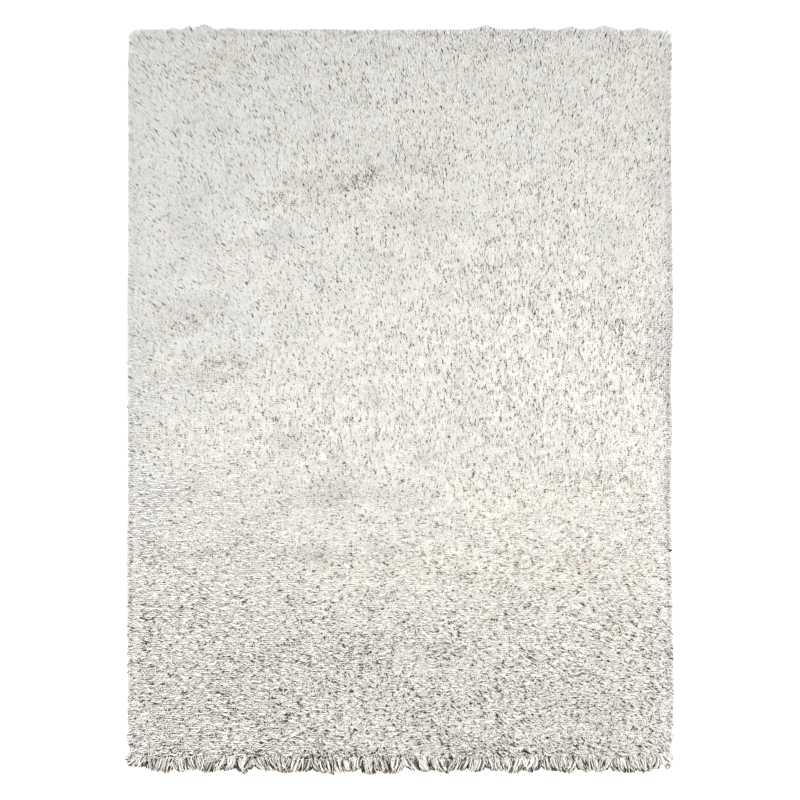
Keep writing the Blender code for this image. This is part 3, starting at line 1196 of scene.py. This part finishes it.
FRINGE = together([curl_layer(layer) for layer in FRINGE_LAYERS])
print("strands in the fringe:", len(FRINGE.radius))

# %% [markdown]
# ## The sides of the pile
# Seen from the side the last strands come out of the cloth one above the other. They are laid round
# the sides and the back in three layers, each a little higher than the one before.

# %% Lay the strands of the sides
SIDE_PITCH = 0.006
SIDE_TIPS = (0.006, 0.015, 0.024)  # heights
SIDE_TRIM = 0.004  # inside the line that the pile reaches to
SIDE_UNEVEN = 0.003  # how much shorter the shortest ones are
SIDE_SWEEP, SIDE_LIFT = 0.004, 0.0015  # spread of the tips along the rim and upwards
SIDE_KNEE = (0.45, 0.30, 0.003)  # share of the root in its place, in its height, and its rise
SIDE_RADIUS = STRAND_RADIUS * 1.15
# painted shade: the strands of the sides are darker than the pile, for the shade on the rim
SIDE_SHADE_TINT = (0.66, 0.10)  # mean, spread


def lay_sides():
    points, way = along_outline(SIDE_PITCH, at_sides)
    number = len(points)
    out = np.column_stack([way, np.zeros(number)])
    across = np.column_stack([-way[:, 1], way[:, 0]])
    place, level, rise = SIDE_KNEE
    tint, spread = SIDE_SHADE_TINT
    layers = []
    for height in SIDE_TIPS:
        reach = rim_reach(points, way) - SIDE_TRIM - chance.uniform(0, SIDE_UNEVEN, number)
        root = np.column_stack([points - way * CLOTH_HEM, np.full(number, PILE_FOOT)])
        tip = root + out * (reach + CLOTH_HEM)[:, None]
        tip[:, :2] += chance.normal(0, SIDE_SWEEP, (number, 1)) * across
        tip[:, 2] = height + chance.normal(0, SIDE_LIFT, number)
        knee = root * place + tip * (1 - place)
        knee[:, 2] = root[:, 2] * level + tip[:, 2] * (1 - level) + rise
        tints = tint_strips(tint + chance.normal(0, spread, number))
        radius = np.full(number, SIDE_RADIUS)
        layers.append(Strands(np.stack([root, knee, tip], 1), np.cross(UP, out), radius, tints))
    return together(layers)


SIDE_LOCKS = lay_sides()
PILE = Strands(MIDDLES, ASIDE, RADIUS, TINT)
print("strands at the sides:", len(SIDE_LOCKS.radius))

# %% [markdown]
# ## Join the copies
# Thousands of objects would be slow, so the copies become a few joined meshes: bands of the rug
# from front to back, the sides and the fringe. The model strand is read into arrays once. Then all
# the points of a piece are worked out together: the middle of the strand at that point's ring, plus
# the point's place across it.

# %% Copy the strands along the rows
BANDS = 5
Pattern = namedtuple("Pattern", "ring across corners starts uvs")


def strand_pattern(strand, rings):
    """The strand as arrays: each point's ring and place across it, its faces and their UVs."""
    mesh = strand.data
    heights = np.array([height for height, _ in rings])
    points = np.array([vertex.co for vertex in mesh.vertices])
    return Pattern(
        ring=np.abs(points[:, 2:] - heights).argmin(axis=1),
        across=points[:, :2],
        corners=np.array([loop.vertex_index for loop in mesh.loops]),
        starts=np.array([face.loop_start for face in mesh.polygons]),
        uvs=np.array([loop.uv for loop in mesh.uv_layers[UV_NAME].data]),
    )


def unit(vectors):
    return vectors / np.maximum(np.linalg.norm(vectors, axis=-1, keepdims=True), 1e-9)


def strand_points(strands, pattern):
    """All points of all copies: copy by copy, point by point."""
    along = np.gradient(strands.middles, axis=1)
    front = unit(np.cross(along, strands.aside[:, None]))
    side = unit(np.cross(front, along))
    spin = chance.uniform(0, 2 * math.pi, len(strands.radius))
    cos, sin = np.cos(spin)[:, None], np.sin(spin)[:, None]
    x = (pattern.across[:, 0] * cos - pattern.across[:, 1] * sin) * strands.radius[:, None]
    y = (pattern.across[:, 0] * sin + pattern.across[:, 1] * cos) * strands.radius[:, None]
    ring = pattern.ring
    points = strands.middles[:, ring] + x[..., None] * side[:, ring] + y[..., None] * front[:, ring]
    points[..., 2] = np.maximum(points[..., 2], FLOOR_GAP)
    return points


def join_strands(name, strands, pattern):
    number = len(strands.radius)
    copy = np.arange(number)[:, None]
    size, corners = len(pattern.ring), len(pattern.corners)
    mesh = bpy.data.meshes.new(name)
    mesh.vertices.add(number * size)
    mesh.vertices.foreach_set("co", strand_points(strands, pattern).ravel())
    mesh.loops.add(number * corners)
    mesh.loops.foreach_set("vertex_index", (pattern.corners + copy * size).ravel())
    mesh.polygons.add(number * len(pattern.starts))
    mesh.polygons.foreach_set("loop_start", (pattern.starts + copy * corners).ravel())
    u = (pattern.uvs[:, 0] + strands.tint[:, None]) / TINTS
    v = np.broadcast_to(pattern.uvs[:, 1], u.shape)
    layer = mesh.uv_layers.new(name=UV_NAME)
    layer.data.foreach_set("uv", np.stack([u, v], -1).ravel())
    mesh.update(calc_edges=True)
    mesh.shade_smooth()
    mesh.materials.append(WOOL)
    print(name, number, "strands,", len(mesh.loops) - 2 * len(mesh.polygons), "triangles")
    return add_object(name, mesh)


def part_of(strands, chosen):
    return Strands(*(column[chosen] for column in strands))


def make_pile():
    order = np.argsort(PLACES[:, 1], kind="stable")
    pattern = strand_pattern(pile_strand, PILE_RINGS)
    pieces = []
    for number, chosen in enumerate(np.array_split(order, BANDS)):
        band = part_of(PILE, chosen)
        pieces.append(join_strands(f"pile_band_{number + 1}", band, pattern))
    pieces.append(join_strands("side_locks", SIDE_LOCKS, pattern))
    fringe = strand_pattern(fringe_strand, FRINGE_RINGS)
    pieces.append(join_strands("front_fringe", FRINGE, fringe))
    return pieces


on_cloth = [felt, *make_pile()]
for model in (pile_strand, fringe_strand):
    bpy.data.objects.remove(model)

# %% [markdown]
# ## Hand over
# Every piece is tied to the rug's one body and stands in for the imported slab, which is hidden.
# The ground cloth is the cloth that the rug was made on, and the pile is tied to the same body.

for piece in (cloth, *on_cloth):
    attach(piece, "root")
    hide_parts(NODE)
